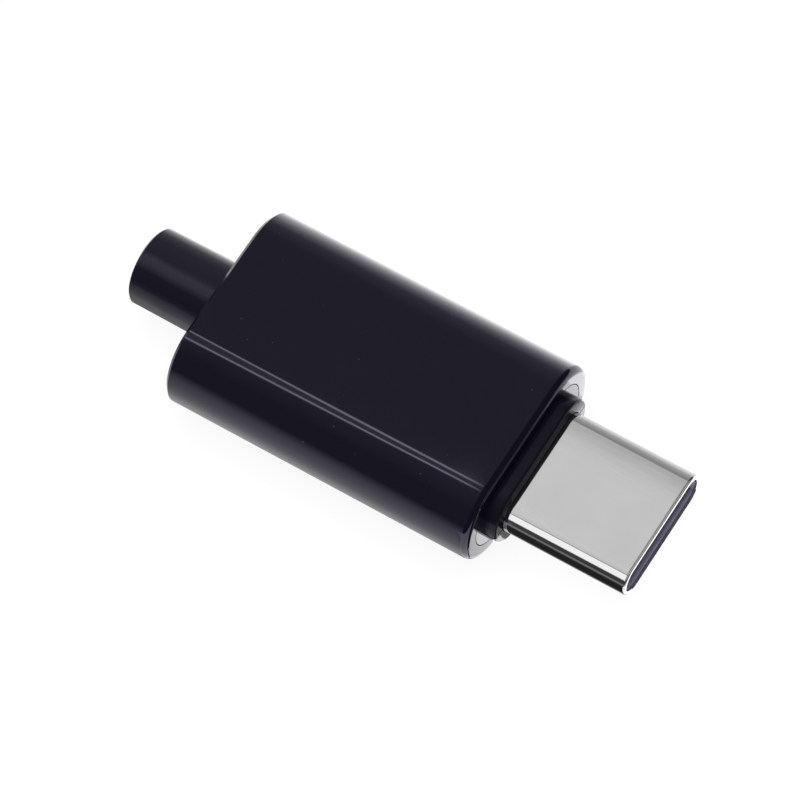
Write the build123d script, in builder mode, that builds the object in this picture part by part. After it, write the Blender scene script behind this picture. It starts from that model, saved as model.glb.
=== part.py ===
from build123d import *
import os

# Assembled cable plug with a 24-way reversible steel plug, lying flat on a surface.
# Millimetres. X runs along the plug towards its tip, Y across it and Z up.
# The origin is under the middle of the whole plug, on the surface that it lies on.

# Steel plug shell
plug_width = 8.25
plug_thickness = 2.40
plug_wall = 0.25
plug_reach = 8.1
plug_overhang = 0.6
rim_round_share = 0.7
rim_bevel_share = 0.16
solder_tab_length = 1.8
solder_tab_height = 1.3
solder_tab_depth = 0.9
catch_window_length = 1.0
catch_window_width = 1.6
catch_window_setback = 2.4

# Inner shell, moulded in two halves that meet on the plug's middle plane
nose_length = 0.9
nose_side_wall = 0.76
nose_edge_radius = 0.15
parting_edge = 0.04
grip_wall = 0.84
grip_length = 3.0
shoulder_width = 0.6
inner_wall = 0.7
inner_side_wall = 0.55
board_ledge = 0.25
wire_room = 4.0
cradle_length = 3.3
cradle_rib_count = 3
cradle_rib_length = 0.5
cradle_rib_height = 0.15
cradle_peg_offset = 1.4
peg_diameter = 0.7
peg_height = 0.6
snap_width = 3.0
snap_length = 0.9
snap_height = 0.2
snap_setback = 6.0

# Outer sleeve with its cable neck
sleeve_wall = 1.0
sleeve_back_wall = 1.6
mouth_edge_radius = 0.42
back_edge_bevel = 0.2
neck_diameter = 4.96
neck_draft = 0.5
neck_length = 5.4
neck_bevel = 0.1
cable_bore = 3.2
bore_chamfer = 0.2

# Insulator in the plug's mouth
housing_recess = 0.15
housing_length = 6.9
insert_side_wall = 0.4
tongue_slot_height = 0.85
tongue_slot_depth = 5.6
tongue_slot_lead_in = 0.1
contact_slot_width = 0.30
contact_slot_setback = 2.35
contact_slot_roof = 0.165
contact_slot_floor = 0.2
carrier_setback = 0.2
catch_height = 0.12

# Contacts
contact_count = 12
contact_pitch = 0.5
contact_width = 0.22
contact_thickness = 0.12
contact_bend_radius = 0.25
contact_tail_length = 1.5
contact_point_setback = 3.4
contact_tip_length = 0.6
contact_tip_rise = 0.2
contact_preload = 0.085
contact_step_length = 0.6
contact_step_setback = 0.9
contact_arm_drop = 1.9
lower_gap_count = 2

# Shield plate between the contact rows
mid_plate_thickness = 0.15
latch_arm_width = 0.22
latch_arm_setback = 1.15
latch_hook_length = 0.9
latch_hook_reach = 0.28

# Ground springs on the insulator
spring_thickness = 0.08
spring_plate_inset = 0.45
spring_plate_length = 2.3
spring_setback = 0.8
spring_finger_count = 4
spring_finger_width = 0.55
spring_finger_root = 0.35
spring_finger_run = 0.65
spring_finger_tip = 0.3
spring_bend_radius = 0.16
spring_preload = 0.06

# Circuit board and its chip parts
board_thickness = 0.6
board_length = 8.0
board_neck_length = 2.0
board_neck_clearance = 0.15
pad_length = 1.6
pad_width = 1.1
pad_height = 0.035
pad_count = 4
pad_pitch = 2.0
chip_length = 1.0
chip_width = 0.5
resistor_height = 0.35
capacitor_height = 0.5
chip_setback = 4.0
chip_offset = 2.4

# Clearances between pieces
sleeve_clearance = 0.06
plug_clearance = 0.05
housing_clearance = 0.03
carrier_gap = 0.05
catch_clearance = 0.1
board_clearance = 0.05
seat_clearance = 0.02
end_gap = 0.3
mid_plate_gap = 0.1
latch_gap = 0.06
spring_gap = 0.05
peg_clearance = 0.05
snap_clearance = 0.1

# How far a cutting shape runs past the material that it cuts
overrun = 1.0

# Cross-section sizes, worked out from the steel plug outwards
plug_inner_width = plug_width - 2 * plug_wall
plug_inner_thickness = plug_thickness - 2 * plug_wall
plug_hole_width = plug_width + 2 * plug_clearance
plug_hole_thickness = plug_thickness + 2 * plug_clearance
nose_width = plug_hole_width + 2 * nose_side_wall
inner_thickness = plug_hole_thickness + 2 * grip_wall
inner_width = nose_width + 2 * shoulder_width
cavity_width = inner_width + 2 * sleeve_clearance
cavity_thickness = inner_thickness + 2 * sleeve_clearance
sleeve_width = cavity_width + 2 * sleeve_wall
sleeve_thickness = cavity_thickness + 2 * sleeve_wall
board_bay_width = inner_width - 2 * inner_side_wall
board_width = board_bay_width - 2 * board_clearance
inner_cavity_width = board_bay_width - 2 * board_ledge
inner_cavity_thickness = inner_thickness - 2 * inner_wall
housing_width = plug_inner_width - 2 * housing_clearance
housing_thickness = plug_inner_thickness - 2 * housing_clearance
tongue_slot_width = housing_width - 2 * insert_side_wall
spring_plate_width = tongue_slot_width - 2 * spring_plate_inset
cradle_radius = cable_bore / 2 + cradle_rib_height
snap_root = inner_thickness / 2 - inner_wall / 2
snap_top = inner_thickness / 2 + snap_height
axis_z = sleeve_thickness / 2

# Lengths along X, first measured back from the tip
tube_length = plug_reach + nose_length + grip_length + plug_overhang
board_start = tube_length - carrier_setback + mid_plate_gap
inner_end = board_start + board_length + wire_room + cradle_length
overall_length = inner_end + end_gap + sleeve_back_wall + neck_length

# Stations along X
tip = overall_length / 2
nose_front = tip - plug_reach
mouth = nose_front - nose_length
grip_back = mouth - grip_length
tube_back = tip - tube_length
tab_back = tube_back - solder_tab_length
board_front = tip - board_start
board_back = board_front - board_length
cradle_front = board_back - wire_room
inner_back = cradle_front - cradle_length
cavity_back = inner_back - end_gap
sleeve_back = cavity_back - sleeve_back_wall
neck_end = sleeve_back - neck_length
housing_front = tip - housing_recess
housing_back = housing_front - housing_length
carrier_front = housing_back - carrier_gap
carrier_back = tube_back + carrier_setback
carrier_length = carrier_front - carrier_back
snap_x = mouth - snap_setback
snap_front = snap_x + snap_length / 2
snap_back = snap_x - snap_length / 2
catch_x = tube_back + catch_window_setback


def across(x):
    """Plane square to the plug at station x, facing the tip, centred on the plug's axis."""
    return Plane(origin=(x, 0, axis_z), x_dir=(0, 1, 0), z_dir=(1, 0, 0))


def upright(y):
    """Upright plane along the plug at width y: local X is world X, local Y is height."""
    return Plane(origin=(0, y, axis_z), x_dir=(1, 0, 0), z_dir=(0, -1, 0))


def level(height):
    """Level plane at a height above the plug's axis."""
    return Plane.XY.offset(axis_z + height)


def finish(builder, name):
    """Labels a finished piece and writes it to its own file."""
    builder.part.label = name
    export_step(builder.part, f"parts/{name}.step")


# Outer sleeve: obround barrel, round cable neck, cavity for the inner shell and snap pockets
with BuildPart() as outer_sleeve:
    with BuildSketch(across(sleeve_back)):
        SlotOverall(sleeve_width, sleeve_thickness)
    extrude(amount=mouth - sleeve_back)
    fillet(outer_sleeve.faces().sort_by(Axis.X)[-1].edges(), mouth_edge_radius)
    chamfer(outer_sleeve.faces().sort_by(Axis.X)[0].edges(), back_edge_bevel)
    with BuildSketch(across(sleeve_back)):
        Circle(neck_diameter / 2)
    extrude(amount=-neck_length, taper=neck_draft)
    chamfer(outer_sleeve.faces().sort_by(Axis.X)[0].edges(), neck_bevel)
    with BuildSketch(across(cavity_back)):
        SlotOverall(cavity_width, cavity_thickness)
    extrude(amount=mouth - cavity_back, mode=Mode.SUBTRACT)
    with BuildSketch(across(neck_end)):
        Circle(cable_bore / 2)
    extrude(amount=cavity_back - neck_end, mode=Mode.SUBTRACT)
    chamfer(outer_sleeve.faces().sort_by(Axis.X)[0].inner_wires().edges(), bore_chamfer)
    with BuildSketch(upright(0)):
        with Locations((snap_x, 0)):
            Rectangle(snap_length + 2 * snap_clearance, 2 * (snap_top + snap_clearance))
    extrude(amount=snap_width / 2 + snap_clearance, both=True, mode=Mode.SUBTRACT)

# Whole inner shell before it is parted: grip block, nose, board bay, cable cradle and snap wedges
rib_pitch = (cradle_length - cradle_rib_length) / (cradle_rib_count - 1)
snap_outline = [
    (snap_front, snap_root),
    (snap_front, snap_top),
    (snap_x, snap_top),
    (snap_back, inner_thickness / 2),
    (snap_back, snap_root),
]
with BuildPart() as inner_body:
    with BuildSketch(across(inner_back)):
        SlotOverall(inner_width, inner_thickness)
    extrude(amount=mouth - inner_back)
    with BuildSketch(across(mouth)):
        SlotOverall(nose_width, inner_thickness)
    extrude(amount=nose_length)
    fillet(inner_body.faces().sort_by(Axis.X)[-1].edges(), nose_edge_radius)
    with BuildSketch(across(grip_back)):
        SlotOverall(plug_hole_width, plug_hole_thickness)
    extrude(amount=nose_front - grip_back, mode=Mode.SUBTRACT)
    with BuildSketch(across(cradle_front)):
        SlotOverall(inner_cavity_width, inner_cavity_thickness)
    extrude(amount=grip_back - cradle_front, mode=Mode.SUBTRACT)
    with BuildSketch(across(board_back - board_clearance)):
        Rectangle(board_bay_width, board_thickness + 2 * seat_clearance)
    extrude(amount=grip_back - board_back + board_clearance, mode=Mode.SUBTRACT)
    with BuildSketch(across(inner_back)):
        Circle(cable_bore / 2)
    extrude(amount=cradle_length, mode=Mode.SUBTRACT)
    rib_gaps = [inner_back + cradle_rib_length + n * rib_pitch for n in range(cradle_rib_count - 1)]
    with BuildSketch(*[across(x) for x in rib_gaps]):
        Circle(cradle_radius)
    extrude(amount=rib_pitch - cradle_rib_length, mode=Mode.SUBTRACT)
    with BuildSketch(upright(0)):
        for side in (1, -1):
            with BuildLine():
                Polyline([(x, side * z) for x, z in snap_outline], close=True)
            make_face()
    extrude(amount=snap_width / 2, both=True)

# The halves register on pegs, two in the grip block and two beside the cable cradle
grip_peg_y = (plug_hole_width + inner_width) / 4
cradle_peg_y = cradle_radius + cradle_peg_offset
peg_places = []
for side in (1, -1):
    peg_places.append((mouth - grip_length / 2, side * grip_peg_y))
    peg_places.append((cradle_front - cradle_length / 2, side * cradle_peg_y))


def parting_corners(builder):
    """The nose's outer corners along the parting plane, where a fine line shows between the halves."""
    inside = plug_hole_width / 2 + parting_edge
    edges = builder.edges().filter_by_position(Axis.Z, axis_z, axis_z)
    return [edge for edge in edges if edge.center().X > mouth and abs(edge.center().Y) > inside]


with BuildPart() as inner_shell_bottom:
    add(inner_body.part)
    split(bisect_by=level(0), keep=Keep.BOTTOM)
    chamfer(parting_corners(inner_shell_bottom), parting_edge)
    with BuildSketch(level(0)):
        with Locations(*peg_places):
            Circle(peg_diameter / 2)
    extrude(amount=peg_height)
with BuildPart() as inner_shell_top:
    add(inner_body.part)
    split(bisect_by=level(0), keep=Keep.TOP)
    chamfer(parting_corners(inner_shell_top), parting_edge)
    with BuildSketch(level(0)):
        with Locations(*peg_places):
            Circle(peg_diameter / 2 + peg_clearance)
    extrude(amount=peg_height + peg_clearance, mode=Mode.SUBTRACT)

# Plug shell: deep-drawn tube with a rolled rim, catch windows and two solder tabs at its back
with BuildPart() as plug_shell:
    with BuildSketch(across(tab_back)):
        SlotOverall(plug_width, plug_thickness)
        SlotOverall(plug_inner_width, plug_inner_thickness, mode=Mode.SUBTRACT)
    extrude(amount=tip - tab_back)
    rim = plug_shell.faces().sort_by(Axis.X)[-1]
    fillet(rim.outer_wire().edges(), rim_round_share * plug_wall)
    rim = plug_shell.faces().sort_by(Axis.X)[-1]
    chamfer(rim.inner_wires()[0].edges(), rim_bevel_share * plug_wall)
    with BuildSketch(across(tab_back)):
        Rectangle(plug_width + overrun, plug_thickness + overrun)
        Rectangle(plug_width + overrun, solder_tab_height, mode=Mode.SUBTRACT)
        Rectangle(plug_width - 2 * solder_tab_depth, solder_tab_height)
    extrude(amount=solder_tab_length, mode=Mode.SUBTRACT)
    with BuildSketch(level(0)):
        with Locations((catch_x, 0)):
            Rectangle(catch_window_length, catch_window_width)
    extrude(amount=plug_thickness / 2 + overrun, both=True, mode=Mode.SUBTRACT)

# Contact strips: tail on the board, step inside the carrier, sprung arm and contact point
row = [contact_pitch * (n - (contact_count - 1) / 2) for n in range(contact_count)]
lower_row = [y for y in row if abs(y) > contact_pitch * lower_gap_count / 2]
tail_z = board_thickness / 2 + contact_thickness / 2
point_z = tongue_slot_height / 2 - contact_preload + contact_thickness / 2
arm_z = housing_thickness / 2 - contact_slot_roof - contact_thickness
arm_front = tip - contact_point_setback
step_front = carrier_front - contact_step_setback
contact_path = [
    (carrier_back - contact_tail_length, tail_z),
    (step_front - contact_step_length, tail_z),
    (step_front, arm_z),
    (arm_front - contact_arm_drop, arm_z),
    (arm_front, point_z),
    (arm_front + contact_tip_length, point_z + contact_tip_rise),
]
contact_radii = [0, 0, 0, contact_bend_radius]


def contact_strip(y, side):
    """A bent contact at width y, for the upper row where side is 1 and the lower where it is -1."""
    with BuildPart() as strip:
        with BuildSketch(upright(y)):
            with BuildLine():
                FilletPolyline(*[(x, side * z) for x, z in contact_path], radius=contact_radii)
            trace(line_width=contact_thickness)
        extrude(amount=contact_width / 2, both=True)
    return strip


contacts = {}
for number in range(1, contact_count + 1):
    contacts[f"contact_a{number}"] = contact_strip(row[contact_count - number], 1)
    if row[number - 1] in lower_row:
        contacts[f"contact_b{number}"] = contact_strip(row[number - 1], -1)
upper_contacts = [strip.part for name, strip in contacts.items() if name.startswith("contact_a")]
lower_contacts = [strip.part for name, strip in contacts.items() if name.startswith("contact_b")]

# Ground springs: a thin plate with fingers that bend through the insulator's windows
spring_front = tip - spring_setback
spring_z = housing_thickness / 2 - spring_thickness / 2
finger_z = tongue_slot_height / 2 - spring_preload + spring_thickness / 2
finger_start = spring_front - spring_finger_root
finger_length = spring_finger_run + spring_finger_tip + spring_gap
finger_pitch = spring_plate_width / spring_finger_count
finger_places = [finger_pitch * (n - (spring_finger_count - 1) / 2) for n in range(spring_finger_count)]


def ground_spring(side):
    """The spring on the upper face where side is 1, and on the lower where it is -1."""
    finger_path = [
        (spring_front - spring_thickness, side * spring_z),
        (finger_start, side * spring_z),
        (finger_start - spring_finger_run, side * finger_z),
        (finger_start - spring_finger_run - spring_finger_tip, side * (finger_z + spring_thickness)),
    ]
    with BuildPart() as spring:
        with BuildSketch(level(side * spring_z)):
            with Locations((spring_front - spring_plate_length / 2, 0)):
                Rectangle(spring_plate_length, spring_plate_width)
            with Locations(*[(finger_start, y) for y in finger_places]):
                Rectangle(finger_length + spring_gap, spring_finger_width + 2 * spring_gap,
                          align=(Align.MAX, Align.CENTER), mode=Mode.SUBTRACT)
        extrude(amount=spring_thickness / 2, both=True)
        for y in finger_places:
            with BuildSketch(upright(y)):
                with BuildLine():
                    FilletPolyline(*finger_path, radius=[0, spring_bend_radius])
                trace(line_width=spring_thickness)
            extrude(amount=spring_finger_width / 2, both=True)
    return spring


ground_spring_top = ground_spring(1)
ground_spring_bottom = ground_spring(-1)

# Insulator: obround block with the tongue slot, contact slots, spring seats and latch slots
latch_outer = housing_width / 2 - latch_gap
latch_inner = latch_outer - latch_arm_width
latch_front = tip - latch_arm_setback
with BuildPart() as insert_housing:
    with BuildSketch(across(housing_back)):
        SlotOverall(housing_width, housing_thickness)
    extrude(amount=housing_length)
    with BuildSketch(across(housing_front)):
        Rectangle(tongue_slot_width, tongue_slot_height)
    extrude(amount=-tongue_slot_depth, mode=Mode.SUBTRACT)
    chamfer(insert_housing.faces().sort_by(Axis.X)[-1].inner_wires().edges(), tongue_slot_lead_in)
    slot_depth = housing_thickness / 2 - contact_slot_roof
    for side, places in ((1, row), (-1, lower_row)):
        with BuildSketch(level(side * contact_slot_floor)):
            with Locations(*[(tip - contact_slot_setback, y) for y in places]):
                Rectangle(housing_length, contact_slot_width, align=(Align.MAX, Align.CENTER))
        extrude(amount=side * (slot_depth - contact_slot_floor), mode=Mode.SUBTRACT)
        with BuildSketch(level(side * (spring_z - spring_thickness / 2 - spring_gap / 2))):
            with Locations((spring_front - spring_plate_length / 2, 0)):
                Rectangle(spring_plate_length + 2 * spring_gap, spring_plate_width + 2 * spring_gap)
        extrude(amount=side * overrun, mode=Mode.SUBTRACT)
        with BuildSketch(level(side * finger_z)):
            with Locations(*[(finger_start + spring_gap, y) for y in finger_places]):
                Rectangle(finger_length + 2 * spring_gap, spring_finger_width + 2 * spring_gap,
                          align=(Align.MAX, Align.CENTER))
        extrude(amount=side * overrun, mode=Mode.SUBTRACT)
        with BuildSketch(level(0)):
            with Locations((latch_front + latch_gap, side * (latch_inner - latch_hook_reach - latch_gap))):
                latch_align = (Align.MAX, Align.MIN if side > 0 else Align.MAX)
                Rectangle(housing_length, housing_width / 2, align=latch_align)
        extrude(amount=mid_plate_thickness / 2 + latch_gap, both=True, mode=Mode.SUBTRACT)



def contact_carrier(side, strips):
    """The half-obround block moulded round the upper row where side is 1, or the lower where it is -1."""
    with BuildPart() as carrier:
        with BuildSketch(across(carrier_back)):
            SlotOverall(housing_width, housing_thickness)
            Rectangle(housing_width, mid_plate_thickness, mode=Mode.SUBTRACT)
            with Locations((0, -side * housing_thickness / 2)):
                Rectangle(housing_width, housing_thickness, mode=Mode.SUBTRACT)
        extrude(amount=carrier_length)
        with BuildSketch(level(side * housing_thickness / 2)):
            with Locations((catch_x, 0)):
                Rectangle(catch_window_length - 2 * catch_clearance,
                          catch_window_width - 2 * catch_clearance)
        extrude(amount=side * catch_height)
        add(strips, mode=Mode.SUBTRACT)
    return carrier


contact_carrier_top = contact_carrier(1, upper_contacts)
contact_carrier_bottom = contact_carrier(-1, lower_contacts)

# Shield plate: a web between the carriers and two side arms with latch hooks
with BuildPart() as mid_plate:
    with BuildSketch(level(0)):
        with Locations((carrier_front - mid_plate_gap, 0)):
            Rectangle(carrier_length - 2 * mid_plate_gap, 2 * latch_outer, align=(Align.MAX, Align.CENTER))
        with Locations((latch_front, 0)):
            Rectangle(latch_front - carrier_front + 2 * mid_plate_gap, 2 * latch_outer,
                      align=(Align.MAX, Align.CENTER))
            Rectangle(latch_front - carrier_front + mid_plate_gap, 2 * latch_inner,
                      align=(Align.MAX, Align.CENTER), mode=Mode.SUBTRACT)
        with BuildLine():
            Polyline((latch_front, latch_inner), (latch_front - latch_hook_length, latch_inner),
                     (latch_front - latch_hook_length / 2, latch_inner - latch_hook_reach), close=True)
        make_face()
        with BuildLine():
            Polyline((latch_front, -latch_inner), (latch_front - latch_hook_length, -latch_inner),
                     (latch_front - latch_hook_length / 2, latch_hook_reach - latch_inner), close=True)
        make_face()
    extrude(amount=mid_plate_thickness / 2, both=True)

# Circuit board: narrow neck between the solder tabs, wide body in the board bay, wire pads
board_neck_width = plug_inner_width - 2 * board_neck_clearance
with BuildPart() as circuit_board:
    with BuildSketch(level(0)):
        with Locations((board_front, 0)):
            Rectangle(board_length, board_neck_width, align=(Align.MAX, Align.CENTER))
        with Locations((board_back, 0)):
            Rectangle(board_length - board_neck_length, board_width, align=(Align.MIN, Align.CENTER))
    extrude(amount=board_thickness / 2, both=True)
    with BuildSketch(level(board_thickness / 2)):
        with Locations((board_back + pad_length, 0)):
            with GridLocations(0, pad_pitch, 1, pad_count):
                Rectangle(pad_length, pad_width)
    extrude(amount=pad_height)

# Chip parts, soldered on the board between the contact tails and the wire pads
chip_x = board_front - chip_setback


def chip(y, height):
    """A chip part of the given height at width y on the board."""
    with BuildPart() as body:
        with BuildSketch(level(board_thickness / 2)):
            with Locations((chip_x, y)):
                Rectangle(chip_length, chip_width)
        extrude(amount=height)
    return body


chip_resistor = chip(chip_offset, resistor_height)
chip_capacitor = chip(-chip_offset, capacitor_height)

# Each piece is written to its own file, and its file's name is the piece's name
os.makedirs("parts", exist_ok=True)
finish(outer_sleeve, "outer_sleeve")
finish(inner_shell_top, "inner_shell_top")
finish(inner_shell_bottom, "inner_shell_bottom")
finish(plug_shell, "plug_shell")
finish(insert_housing, "insert_housing")
finish(contact_carrier_top, "contact_carrier_top")
finish(contact_carrier_bottom, "contact_carrier_bottom")
finish(mid_plate, "mid_plate")
finish(ground_spring_top, "ground_spring_top")
finish(ground_spring_bottom, "ground_spring_bottom")
finish(circuit_board, "circuit_board")
finish(chip_resistor, "chip_resistor")
finish(chip_capacitor, "chip_capacitor")
for name, strip in contacts.items():
    finish(strip, name)
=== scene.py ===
import math

import bpy
from mathutils import Matrix, Vector


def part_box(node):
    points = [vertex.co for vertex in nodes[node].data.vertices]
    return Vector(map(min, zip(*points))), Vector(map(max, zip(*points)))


# A glossy black cable plug with a bright steel end, lying flat on a white table.
# Metres, in the frame of the CAD model: X towards the steel tip, Z up from the table.

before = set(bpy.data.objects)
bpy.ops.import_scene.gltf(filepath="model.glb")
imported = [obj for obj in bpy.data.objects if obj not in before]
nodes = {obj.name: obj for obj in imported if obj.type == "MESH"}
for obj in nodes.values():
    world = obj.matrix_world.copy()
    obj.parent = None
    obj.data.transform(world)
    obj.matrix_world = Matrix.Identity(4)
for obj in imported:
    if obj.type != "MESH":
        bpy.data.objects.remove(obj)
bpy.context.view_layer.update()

MM = 0.001

# Camera, as the photograph was taken
CAMERA_AZIMUTH = 44.718
CAMERA_ELEVATION = 63.396
CAMERA_ROLL = -13.616
CAMERA_DISTANCE = 296.91 * MM
CAMERA_TARGET = (-0.0389 * MM, -0.1662 * MM, 3.15 * MM)
CAMERA_LENS = 231.82
CAMERA_SENSOR = 36
CAMERA_CLIP = (0.01, 20)

# Height of the plug's axis, read from the frame
plug_low, plug_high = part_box("plug_shell")
axis_height = (plug_low.z + plug_high.z) / 2

# Light: one soft lamp and an even room, for the matt part of the looks
KEY_HEIGHT = 0.8
KEY_SIZE = 0.9
KEY_RADIANCE = 1.43
SKY_LEVEL = 0.32

# Tent: a plain set of graded cards that the glossy skins mirror. The stops are few and round,
# and were rounded down from a longer table that was fitted to the photograph's reflections.
# Angles are round the X axis from straight up, in degrees, with -Y negative. Places on the table
# are the share y / (|y| + 10 mm). Each level passes in a straight line to the next one.
TENT_RADIUS = 80 * MM
TENT_LENGTH = 600 * MM
TENT_SIDES = 48
SHARE_LENGTH = 10 * MM
SLEEVE_SKY = (
    (-90, 0.8), (-75, 0.15), (-40, 0.15), (-5, 0.3), (40, 0.3), (70, 0.5), (90, 1.4))
# The table's levels for the sleeve and the neck drop low right under them: painted shade, standing
# for the plug's shadow on the table as their gloss mirrors it.
SLEEVE_FLOOR = (
    (-0.9, 0.8), (-0.55, 1.2), (-0.45, 1.2), (-0.35, 0.2), (0.4, 1.0), (0.55, 2.5), (0.9, 1.4))
NECK_SKY = (
    (-90, 0.3), (-75, 0.15), (-40, 0.2), (-20, 0.8), (-5, 0.9), (10, 0.4), (60, 0.4), (90, 0.6))
NECK_FLOOR = (
    (-0.9, 0.4), (-0.35, 0.9), (-0.15, 0.1), (0.2, 0.8), (0.4, 1.5), (0.9, 0.6))
STEEL_SKY = (
    (-90, 0.05), (-72, 0.05), (-66, 0.15), (-40, 0.15), (-5, 0.3), (60, 0.3), (90, 0.5))
STEEL_FLOOR = (
    (-0.9, 0.2), (-0.7, 0.2), (-0.6, 0.02), (-0.35, 0.02), (-0.25, 0.6), (0.45, 0.9), (0.9, 0.5))

# The two straight light tubes that the sleeve mirrors: (X in mm, angle) at both ends, their
# widths in degrees, the lighter field between them with its soft sides, and where they end
TUBE_LEVEL = 4.0
TUBE_HALF_WIDTH = 1.2
TUBE_SOFT_EDGE = 1.0
TUBE_ONE = ((-40, 10), (-15, 13))
TUBE_TWO = ((-40, -7), (-15, 4))
BETWEEN_TUBES_LEVEL = 0.60
BETWEEN_TUBES_SOFT = (-2.5, 1)
TUBE_FRONT = -14.9 * MM
TUBE_FRONT_SOFT = 0.4 * MM

# Where the tent passes from the neck's image to the sleeve's, and from that to the steel's:
# X on the roof, and on the table X at Y = 0 and its slant with |Y|, each with half the width
# of its soft edge. Past the tip the roof darkens from one X to another.
NECK_ROOF = (-40.7 * MM, 0.3 * MM)
STEEL_ROOF = (-13.85 * MM, 0.2 * MM)
NECK_FLOOR_EDGE = (-10.6 * MM, -0.37)
STEEL_FLOOR_EDGE = (9.9 * MM, -0.31)
FLOOR_EDGE_SOFT = 0.3 * MM
TIP_ROOF = (-2 * MM, 4 * MM)
TIP_ROOF_LEVEL = 0.06

# Lamps for the surfaces that turn towards +X, in mm. Flat on the table in front of the sleeve's
# mouth are two small ones, given as (x from, x to), (y from, y to), and two large ones whose
# near edge starts at a corner and runs outwards with the slant. Their levels are for the -Y and
# +Y side of the small and of the large pair. The steel's rim has one upright past the tip and
# one on the table in front, each given as its middle, its length and width, and its level.
LAMP_LIFT = 0.05
NEAR_LAMPS = (((8.4, 10.4), (-6.2, -3.6)), ((8.9, 10.6), (4.6, 8.8)))
SIDE_LAMP_CORNER = (8.0, 6.1)
SIDE_LAMP_SLANT = 0.31
SIDE_LAMP_SIZE = (60, 78)
SLEEVE_LEVELS = ((1.9, 1.5), (1.5, 0.9))
INNER_LEVELS = ((3.2, 2.4), (0.8, 0.4))
RIM_LAMP = ((60, 0, 50), (50, 150), 0.55)
TIP_LAMP = ((22, 0, LAMP_LIFT), (8.6, 30), 1.15)

# Flat panels under the tent that only the steel mirrors: (angle from, angle to, level), and in
# mm their ends along X and how far their middles are from the X axis
STEEL_PANELS = ((-66, -36, 1.05), (-33, -6, 0.5), (-6, 21, 0.45), (21, 48, 0.25))
STEEL_PANELS_X = (-25, 28)
STEEL_PANELS_RADIUS = 76

# Sizes inside the plug's finishes: the height of the board's solder mask over the axis, the share
# of a chip's length from its middle to its end caps, and the crease angle of crisp edges
MASK_HEIGHT = 0.305 * MM
CHIP_CAP_SHARE = 0.29
CREASE_ANGLE = 32
WELD_DISTANCE = 0.0005 * MM

# Table
FLOOR_SIZE = 3.0
FLOOR_COLOUR = 0.82
FLOOR_GRAIN = 0.01
FLOOR_WHITE = 1.155
FLOOR_WHITE_SHARE = 0.78


class Nodes:
    """A short way to write a node tree."""

    def __init__(self, tree):
        self.tree = tree
        tree.nodes.clear()

    def add(self, kind, inputs=None, **settings):
        node = self.tree.nodes.new(kind)
        for name, value in settings.items():
            setattr(node, name, value)
        for name, value in (inputs or {}).items():
            if isinstance(value, bpy.types.NodeSocket):
                self.tree.links.new(value, node.inputs[name])
            else:
                node.inputs[name].default_value = value
        return node

    def math(self, operation, *values, clamp=False):
        node = self.add("ShaderNodeMath", operation=operation, use_clamp=clamp)
        for index, value in enumerate(values):
            if isinstance(value, bpy.types.NodeSocket):
                self.tree.links.new(value, node.inputs[index])
            else:
                node.inputs[index].default_value = value
        return node.outputs[0]

    def place(self):
        """The point on the surface, in metres in the object's frame."""
        return self.add("ShaderNodeTexCoord").outputs["Object"]

    def stretched(self, share):
        """The same, squeezed across the plug, which draws a noise out along it."""
        node = self.add("ShaderNodeMapping", {
            "Vector": self.place(), "Scale": (1.0, share, share)})
        return node.outputs[0]

    def noise(self, scale, detail=3.0, roughness=0.5, vector=None):
        vector = self.place() if vector is None else vector
        node = self.add("ShaderNodeTexNoise", {
            "Vector": vector, "Scale": scale, "Detail": detail, "Roughness": roughness})
        return node.outputs["Fac"]

    def span(self, value, low, high, out_low=0.0, out_high=1.0):
        """Maps value from low..high to out_low..out_high, held at both ends."""
        node = self.add("ShaderNodeMapRange", {
            "Value": value, "From Min": low, "From Max": high,
            "To Min": out_low, "To Max": out_high})
        return node.outputs["Result"]

    def curve(self, value, points):
        """Straight lines through (value, result) points, held at both ends."""
        low, high = points[0][0], points[-1][0]
        top = max(result for _, result in points)
        ramp = self.add("ShaderNodeValToRGB", {"Fac": self.span(value, low, high)})
        elements = ramp.color_ramp.elements
        for index, (place, result) in enumerate(points):
            share = (place - low) / (high - low)
            if index in (0, len(points) - 1):
                element = elements[0 if index == 0 else -1]
            else:
                element = elements.new(share)
            element.color = (result / top,) * 3 + (1,)
        return self.math("MULTIPLY", ramp.outputs["Color"], top)

    def curve_signed(self, x, points):
        """The same for a place in metres, through (place in mm, result) points of any sign."""
        low = min(result for _, result in points)
        raised = [(place, result - low) for place, result in points]
        return self.math("ADD", self.curve(self.math("DIVIDE", x, MM), raised), low)

    def mix(self, factor, first, second):
        """The first value, passing to the second."""
        return self.add("ShaderNodeMix", {0: factor, 2: first, 3: second}).outputs[0]

    def blend(self, factor, first, second):
        node = self.add("ShaderNodeMix", data_type="RGBA")
        for index, value in ((0, factor), (6, first), (7, second)):
            if isinstance(value, bpy.types.NodeSocket):
                self.tree.links.new(value, node.inputs[index])
            else:
                node.inputs[index].default_value = value
        return node.outputs[2]

    def bump(self, height, strength, distance):
        node = self.add("ShaderNodeBump", {
            "Height": height, "Strength": strength, "Distance": distance})
        return node.outputs["Normal"]

    def surface(self, **inputs):
        shader = self.add("ShaderNodeBsdfPrincipled", {
            name.replace("_", " "): value for name, value in inputs.items()})
        output = self.add("ShaderNodeOutputMaterial")
        self.tree.links.new(shader.outputs[0], output.inputs["Surface"])
        return shader


def material(name):
    """A new material and its empty node tree."""
    made = bpy.data.materials.new(name)
    made.use_nodes = True
    return made, Nodes(made.node_tree)


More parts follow.
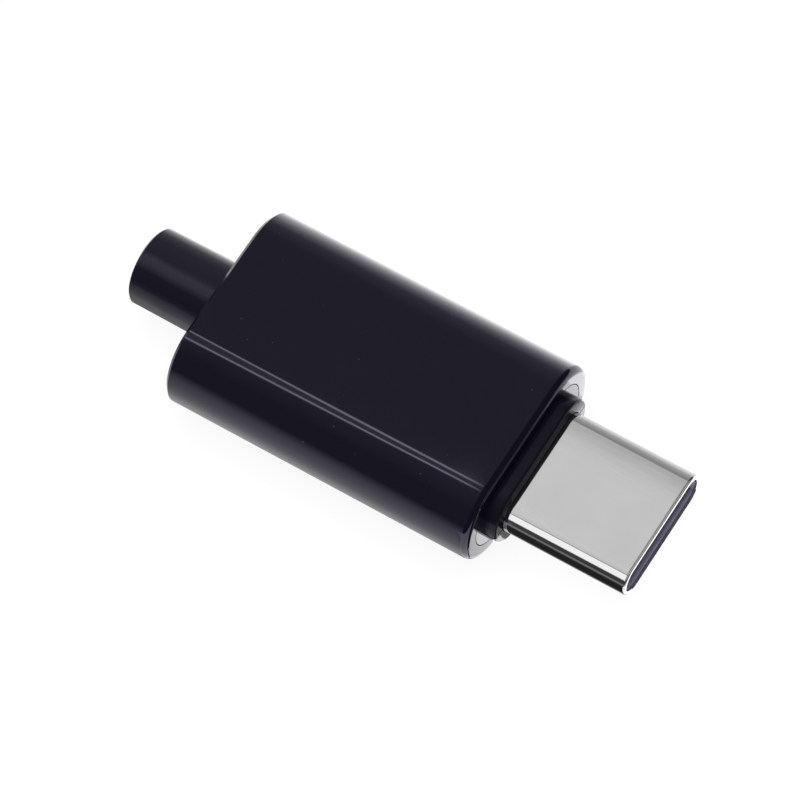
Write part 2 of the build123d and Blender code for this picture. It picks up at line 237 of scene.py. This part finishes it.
def sleeve_plastic():
    """Black ABS from a polished mould: deep gloss, a faint orange peel and a few specks of dust."""
    made, n = material("sleeve_plastic")
    peel = n.noise(900, detail=2.0)
    haze = n.noise(260, detail=4.0)
    specks = n.noise(5200, detail=1.0)
    dust = n.span(specks, 0.80, 0.84)
    colour = n.blend(haze, (0.0053, 0.0042, 0.0118, 1), (0.0073, 0.0060, 0.0148, 1))
    colour = n.blend(dust, colour, (0.09, 0.09, 0.10, 1))
    n.surface(
        Base_Color=colour,
        Roughness=n.math(
            "ADD", n.span(haze, 0.3, 0.7, 0.045, 0.075), n.math("MULTIPLY", dust, 0.4)),
        IOR=1.5,
        Specular_Tint=(0.80, 0.76, 1.0, 1),
        Normal=n.bump(peel, 0.04, 0.02 * MM),
    )
    return made


def inner_plastic():
    """The inner shell's black plastic: less gloss than the sleeve and a finer grain."""
    made, n = material("inner_plastic")
    grain = n.noise(3500, detail=3.0)
    haze = n.noise(400, detail=3.0)
    colour = n.blend(haze, (0.0072, 0.0060, 0.0135, 1), (0.0100, 0.0085, 0.0170, 1))
    n.surface(
        Base_Color=colour,
        Roughness=n.span(haze, 0.3, 0.7, 0.14, 0.22),
        IOR=1.31,
        Specular_Tint=(0.84, 0.80, 1.0, 1),
        Normal=n.bump(grain, 0.10, 0.01 * MM),
    )
    return made


def plug_steel():
    """Nickel-plated steel: drawn along the plug, with faint cloudy mottling."""
    made, n = material("plug_steel")
    drawn = n.noise(420, detail=4.0, vector=n.stretched(14.0))
    cloud = n.noise(330, detail=4.0, roughness=0.6)
    colour = n.blend(cloud, (0.680, 0.680, 0.676, 1), (0.760, 0.760, 0.756, 1))
    rough = n.math("ADD", n.span(drawn, 0.3, 0.7, 0.045, 0.075), n.span(cloud, 0.3, 0.7, 0.0, 0.02))
    n.surface(
        Base_Color=colour,
        Metallic=1.0,
        Roughness=rough,
        Normal=n.bump(n.math("ADD", drawn, n.math("MULTIPLY", cloud, 2.0)), 0.03, 0.01 * MM),
    )
    return made


def insert_plastic():
    """Violet-grey insulator resin, matt, with fine glass-fibre grain."""
    made, n = material("insert_plastic")
    grain = n.noise(6000, detail=4.0, roughness=0.7)
    cloud = n.noise(700, detail=3.0)
    colour = n.blend(cloud, (0.175, 0.166, 0.242, 1), (0.215, 0.205, 0.298, 1))
    n.surface(
        Base_Color=colour,
        Roughness=n.span(grain, 0.3, 0.7, 0.38, 0.55),
        IOR=1.5,
        Normal=n.bump(grain, 0.15, 0.01 * MM),
    )
    return made


def carrier_plastic():
    """Black high-temperature resin of the contact carriers."""
    made, n = material("carrier_plastic")
    grain = n.noise(5000, detail=4.0, roughness=0.7)
    colour = n.blend(grain, (0.022, 0.022, 0.026, 1), (0.042, 0.042, 0.048, 1))
    n.surface(
        Base_Color=colour,
        Roughness=n.span(grain, 0.3, 0.7, 0.40, 0.58),
        IOR=1.5,
        Normal=n.bump(grain, 0.15, 0.01 * MM),
    )
    return made


def metal_sheet(name, dark, light, smooth, rough):
    """Thin rolled sheet with fine lines along the plug."""
    made, n = material(name)
    rolled = n.noise(900, detail=4.0, vector=n.stretched(10.0))
    n.surface(
        Base_Color=n.blend(rolled, (*dark, 1), (*light, 1)),
        Metallic=1.0,
        Roughness=n.span(rolled, 0.3, 0.7, smooth, rough),
        Normal=n.bump(rolled, 0.06, 0.005 * MM),
    )
    return made


def board_laminate():
    """Green solder mask over copper traces, with gold pads."""
    made, n = material("board")
    place = n.place()
    parts = n.add("ShaderNodeSeparateXYZ", {"Vector": place})
    height = parts.outputs["Z"]
    mask_top = axis_height + MASK_HEIGHT
    pads = n.math("GREATER_THAN", height, mask_top)
    traces = n.add("ShaderNodeTexWave", {
        "Vector": place, "Scale": 300.0, "Distortion": 2.5, "Detail": 1.0},
        wave_type="BANDS", bands_direction="Y")
    traced = n.span(traces.outputs["Fac"], 0.55, 0.65)
    weave = n.noise(2600, detail=3.0)
    mask = n.blend(traced, (0.010, 0.085, 0.040, 1), (0.018, 0.135, 0.062, 1))
    n.surface(
        Base_Color=n.blend(pads, mask, (0.83, 0.62, 0.30, 1)),
        Metallic=pads,
        Roughness=n.span(weave, 0.3, 0.7, 0.26, 0.38),
        Normal=n.bump(n.math("ADD", traced, weave), 0.20, 0.01 * MM),
    )
    return made


def chip_ceramic(name, node, body):
    """A chip part: a ceramic body between two tinned end caps."""
    made, n = material(name)
    low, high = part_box(node)
    parts = n.add("ShaderNodeSeparateXYZ", {"Vector": n.place()})
    along = n.math("ABSOLUTE", n.math("SUBTRACT", parts.outputs["X"], (low.x + high.x) / 2))
    caps = n.math("GREATER_THAN", along, (high.x - low.x) * CHIP_CAP_SHARE)
    grain = n.noise(4000, detail=3.0)
    n.surface(
        Base_Color=n.blend(caps, body, (0.62, 0.61, 0.58, 1)),
        Metallic=caps,
        Roughness=n.span(grain, 0.3, 0.7, 0.35, 0.55),
        Normal=n.bump(grain, 0.15, 0.01 * MM),
    )
    return made


def shade_smooth(node):
    """Joins the node's patches in the render and smooths its curved faces. Edges stay crisp."""
    for polygon in node.data.polygons:
        polygon.use_smooth = True
    if node.data.has_custom_normals:
        node.data.attributes.remove(node.data.attributes["custom_normal"])
    weld = node.modifiers.new("weld", "WELD")
    weld.merge_threshold = WELD_DISTANCE
    crease = node.modifiers.new("crease", "EDGE_SPLIT")
    crease.split_angle = math.radians(CREASE_ANGLE)
    crease.use_edge_sharp = False
    weighted = node.modifiers.new("weighted", "WEIGHTED_NORMAL")
    weighted.mode = "FACE_AREA"
    weighted.weight = 50


def dress():
    """Gives each node its finish."""
    steel_sheet = metal_sheet("spring_steel", (0.52, 0.52, 0.50), (0.62, 0.62, 0.60), 0.18, 0.30)
    gold = metal_sheet("contact_gold", (0.78, 0.54, 0.22), (0.88, 0.64, 0.30), 0.16, 0.28)
    inner = inner_plastic()
    carrier = carrier_plastic()
    finishes = {
        "outer_sleeve": sleeve_plastic(),
        "inner_shell_top": inner,
        "inner_shell_bottom": inner,
        "plug_shell": plug_steel(),
        "insert_housing": insert_plastic(),
        "contact_carrier_top": carrier,
        "contact_carrier_bottom": carrier,
        "mid_plate": steel_sheet,
        "ground_spring_top": steel_sheet,
        "ground_spring_bottom": steel_sheet,
        "circuit_board": board_laminate(),
        "chip_resistor": chip_ceramic("chip_resistor", "chip_resistor", (0.015, 0.015, 0.016, 1)),
        "chip_capacitor": chip_ceramic("chip_capacitor", "chip_capacitor", (0.28, 0.17, 0.09, 1)),
    }
    for name, node in nodes.items():
        node.data.materials.clear()
        node.data.materials.append(finishes.get(name, gold))
        shade_smooth(node)


def plate(name, centre, width, depth):
    """A flat rectangle, level, facing up."""
    x, y, z = centre
    w, d = width / 2, depth / 2
    mesh = bpy.data.meshes.new(name)
    corners = [(x - w, y - d, z), (x + w, y - d, z), (x + w, y + d, z), (x - w, y + d, z)]
    mesh.from_pydata(corners, [], [(0, 1, 2, 3)])
    made = bpy.data.objects.new(name, mesh)
    bpy.context.scene.collection.objects.link(made)
    return made


def split_place(n):
    """The X, Y and Z of the point on the surface."""
    parts = n.add("ShaderNodeSeparateXYZ", {"Vector": n.place()})
    return parts.outputs["X"], parts.outputs["Y"], parts.outputs["Z"]


def floor():
    """White table that keeps a faint shadow. The plug's gloss shows graded levels in its place,
    with painted shade under the sleeve and the neck.
    """
    table = plate("floor", (0, 0, 0), FLOOR_SIZE, FLOOR_SIZE)
    made, n = material("floor")
    x, y, _ = split_place(n)
    far = n.math("ABSOLUTE", y)
    share = n.math("DIVIDE", y, n.math("ADD", far, SHARE_LENGTH))
    edges = []
    for start, slant in (NECK_FLOOR_EDGE, STEEL_FLOOR_EDGE):
        past = n.math("SUBTRACT", x, n.math("MULTIPLY_ADD", far, slant, start))
        edges.append(n.span(past, -FLOOR_EDGE_SOFT, FLOOR_EDGE_SOFT))
    # These levels hold painted shade: they drop under the sleeve and the neck, where the plug
    # shades the table.
    level = n.mix(edges[0], n.curve(share, NECK_FLOOR), n.curve(share, SLEEVE_FLOOR))
    level = n.mix(edges[1], level, n.curve(share, STEEL_FLOOR))
    path = n.add("ShaderNodeLightPath")
    camera = path.outputs["Is Camera Ray"]
    glossy = n.math("MAXIMUM", path.outputs["Is Glossy Ray"], path.outputs["Is Transmission Ray"])
    strength = n.math(
        "ADD", n.math("MULTIPLY", camera, FLOOR_WHITE), n.math("MULTIPLY", glossy, level))
    white = n.add("ShaderNodeEmission", {"Color": (1, 1, 1, 1), "Strength": strength})
    grain = n.noise(180, detail=2.0)
    darker, lighter = FLOOR_COLOUR - FLOOR_GRAIN, FLOOR_COLOUR + FLOOR_GRAIN
    cover = n.blend(grain, (darker,) * 3 + (1,), (lighter,) * 3 + (1,))
    paper = n.add("ShaderNodeBsdfDiffuse", {"Color": cover})
    white_share = n.math("ADD", n.math("MULTIPLY", camera, FLOOR_WHITE_SHARE), glossy, clamp=True)
    mix = n.add("ShaderNodeMixShader", {0: white_share, 1: paper.outputs[0], 2: white.outputs[0]})
    output = n.add("ShaderNodeOutputMaterial")
    n.tree.links.new(mix.outputs[0], output.inputs["Surface"])
    made.cycles.emission_sampling = "NONE"
    table.data.materials.append(made)


def tube(n, past):
    """A light tube, from the angle past its middle."""
    off = n.math("ABSOLUTE", past)
    return n.span(off, TUBE_HALF_WIDTH, TUBE_HALF_WIDTH + TUBE_SOFT_EDGE, TUBE_LEVEL, 0.0)


def tent():
    """A half round roof along X over the table, with closed ends, that only gloss shows."""
    half = TENT_LENGTH / 2
    angles = [math.pi * (side / TENT_SIDES - 0.5) for side in range(TENT_SIDES + 1)]
    arc = [(TENT_RADIUS * math.sin(angle), TENT_RADIUS * math.cos(angle)) for angle in angles]
    points = [(end, y, z) for end in (-half, half) for y, z in arc]
    count = len(arc)
    faces = [(side, side + 1, count + side + 1, count + side) for side in range(TENT_SIDES)]
    faces += [tuple(range(count)), tuple(range(count, 2 * count))]
    mesh = bpy.data.meshes.new("tent")
    mesh.from_pydata(points, [], faces)
    roof = bpy.data.objects.new("tent", mesh)
    bpy.context.scene.collection.objects.link(roof)

    made, n = material("tent")
    x, y, z = split_place(n)
    angle = n.math("MULTIPLY", n.math("ARCTAN2", y, z), 180 / math.pi)
    past_one = n.math("SUBTRACT", angle, n.curve_signed(x, TUBE_ONE))
    past_two = n.math("SUBTRACT", angle, n.curve_signed(x, TUBE_TWO))
    tubes = n.math("MAXIMUM", tube(n, past_one), tube(n, past_two))
    outer, inner = BETWEEN_TUBES_SOFT
    between = n.math(
        "MULTIPLY", n.span(past_two, outer, inner), n.span(past_one, -inner, -outer, 1.0, 0.0))
    between = n.math("MULTIPLY", between, BETWEEN_TUBES_LEVEL)
    ended = n.span(x, TUBE_FRONT - TUBE_FRONT_SOFT, TUBE_FRONT, 1.0, 0.0)
    tubes = n.math("MULTIPLY", n.math("MAXIMUM", tubes, between), ended)
    level = n.curve(angle, NECK_SKY)
    sleeve = n.math("MAXIMUM", n.curve(angle, SLEEVE_SKY), tubes)
    for (start, soft), next_level in (
            (NECK_ROOF, sleeve), (STEEL_ROOF, n.curve(angle, STEEL_SKY))):
        level = n.mix(n.span(x, start - soft, start + soft), level, next_level)
    level = n.mix(n.span(x, *TIP_ROOF), level, TIP_ROOF_LEVEL)
    glow = n.add("ShaderNodeEmission", {"Color": (1, 1, 1, 1), "Strength": level})
    output = n.add("ShaderNodeOutputMaterial")
    n.tree.links.new(glow.outputs[0], output.inputs["Surface"])
    made.cycles.emission_sampling = "NONE"
    roof.data.materials.append(made)
    roof.visible_camera = False
    roof.visible_diffuse = False
    roof.visible_transmission = False
    roof.visible_shadow = False


def gloss_lamp(name, place, turn, length, width, level, seen_by):
    """A rectangular lamp of a given radiance that shows only in the gloss of some nodes."""
    data = bpy.data.lights.new(name, "AREA")
    data.shape = "RECTANGLE"
    data.size = length
    data.size_y = width
    data.energy = level * length * width * math.pi
    lamp = bpy.data.objects.new(name, data)
    lamp.location = place
    lamp.rotation_euler = turn
    lamp.visible_camera = False
    lamp.visible_diffuse = False
    group = bpy.data.collections.new(name + "_seen_by")
    for node in seen_by:
        group.objects.link(nodes[node])
    lamp.light_linking.receiver_collection = group
    bpy.context.scene.collection.objects.link(lamp)


def face_lamps():
    """Light for the surfaces that turn towards +X."""
    groups = (
        ("sleeve", SLEEVE_LEVELS, ["outer_sleeve"]),
        ("inner", INNER_LEVELS, ["inner_shell_top", "inner_shell_bottom"]))
    tilt = math.atan(SIDE_LAMP_SLANT)
    length, width = SIDE_LAMP_SIZE
    for name, (near_levels, side_levels), seen_by in groups:
        for index, ((x_from, x_to), (y_from, y_to)) in enumerate(NEAR_LAMPS):
            place = Vector(((x_from + x_to) / 2, (y_from + y_to) / 2, LAMP_LIFT)) * MM
            gloss_lamp(f"{name}_near_{index}", place, (math.pi, 0, 0),
                       (x_to - x_from) * MM, (y_to - y_from) * MM, near_levels[index], seen_by)
        for index, side in enumerate((-1, 1)):
            outwards = Vector((-math.sin(tilt), side * math.cos(tilt), 0))
            forwards = Vector((math.cos(tilt), side * math.sin(tilt), 0))
            corner = Vector((SIDE_LAMP_CORNER[0], side * SIDE_LAMP_CORNER[1], LAMP_LIFT))
            place = (corner + outwards * width / 2 + forwards * length / 2) * MM
            gloss_lamp(f"{name}_side_{index}", place, (math.pi, 0, side * tilt),
                       length * MM, width * MM, side_levels[index], seen_by)
    for name, turn, (place, (length, width), level) in (
            ("rim", (0, math.pi / 2, 0), RIM_LAMP), ("tip", (math.pi, 0, 0), TIP_LAMP)):
        gloss_lamp(name, Vector(place) * MM, turn, length * MM, width * MM, level, ["plug_shell"])


def steel_panels():
    """Light panels round the plug's top that only its steel mirrors."""
    x_from, x_to = STEEL_PANELS_X
    for index, (angle_from, angle_to, level) in enumerate(STEEL_PANELS):
        middle = math.radians((angle_from + angle_to) / 2)
        half = math.radians((angle_to - angle_from) / 2)
        width = 2 * STEEL_PANELS_RADIUS * math.tan(half)
        outwards = Vector((0, math.sin(middle), math.cos(middle)))
        place = Vector(((x_from + x_to) / 2, 0, 0)) + outwards * STEEL_PANELS_RADIUS
        gloss_lamp(f"steel_panel_{index}", place * MM, (-middle, 0, 0),
                   (x_to - x_from) * MM, width * MM, level, ["plug_shell"])


def key_light():
    """A soft lamp overhead that gloss doesn't show."""
    data = bpy.data.lights.new("key", "AREA")
    data.shape = "SQUARE"
    data.size = KEY_SIZE
    data.energy = KEY_RADIANCE * KEY_SIZE ** 2 * math.pi
    lamp = bpy.data.objects.new("key", data)
    lamp.location = (0, 0, KEY_HEIGHT)
    lamp.visible_glossy = False
    bpy.context.scene.collection.objects.link(lamp)


def sky():
    """The room's even light, with a white backdrop. The tent takes its place in the gloss."""
    world = bpy.data.worlds.new("room")
    world.use_nodes = True
    bpy.context.scene.world = world
    n = Nodes(world.node_tree)
    path = n.add("ShaderNodeLightPath")
    matt = n.math("SUBTRACT", 1.0, path.outputs["Is Glossy Ray"])
    strength = n.math("MAXIMUM", path.outputs["Is Camera Ray"], n.math("MULTIPLY", matt, SKY_LEVEL))
    back = n.add("ShaderNodeBackground", {"Color": (1, 1, 1, 1), "Strength": strength})
    output = n.add("ShaderNodeOutputWorld")
    n.tree.links.new(back.outputs[0], output.inputs["Surface"])


def camera():
    """The photograph's camera: its direction, its turn about the line of sight and its lens."""
    azimuth, elevation = math.radians(CAMERA_AZIMUTH), math.radians(CAMERA_ELEVATION)
    back = Vector((
        math.sin(azimuth) * math.cos(elevation),
        -math.cos(azimuth) * math.cos(elevation),
        math.sin(elevation)))
    level = Vector((math.cos(azimuth), math.sin(azimuth), 0))
    up = back.cross(level)
    turn = Matrix.Rotation(math.radians(CAMERA_ROLL), 3, back)
    right, up = turn @ level, turn @ up
    data = bpy.data.cameras.new("camera")
    data.lens = CAMERA_LENS
    data.sensor_width = CAMERA_SENSOR
    data.clip_start, data.clip_end = CAMERA_CLIP
    made = bpy.data.objects.new("camera", data)
    bpy.context.scene.collection.objects.link(made)
    place = Vector(CAMERA_TARGET) + back * CAMERA_DISTANCE
    made.matrix_world = Matrix((
        (right.x, up.x, back.x, place.x),
        (right.y, up.y, back.y, place.y),
        (right.z, up.z, back.z, place.z),
        (0, 0, 0, 1)))
    bpy.context.scene.camera = made


dress()
floor()
tent()
face_lamps()
steel_panels()
key_light()
sky()
camera()
bpy.context.scene.view_settings.view_transform = "Standard"
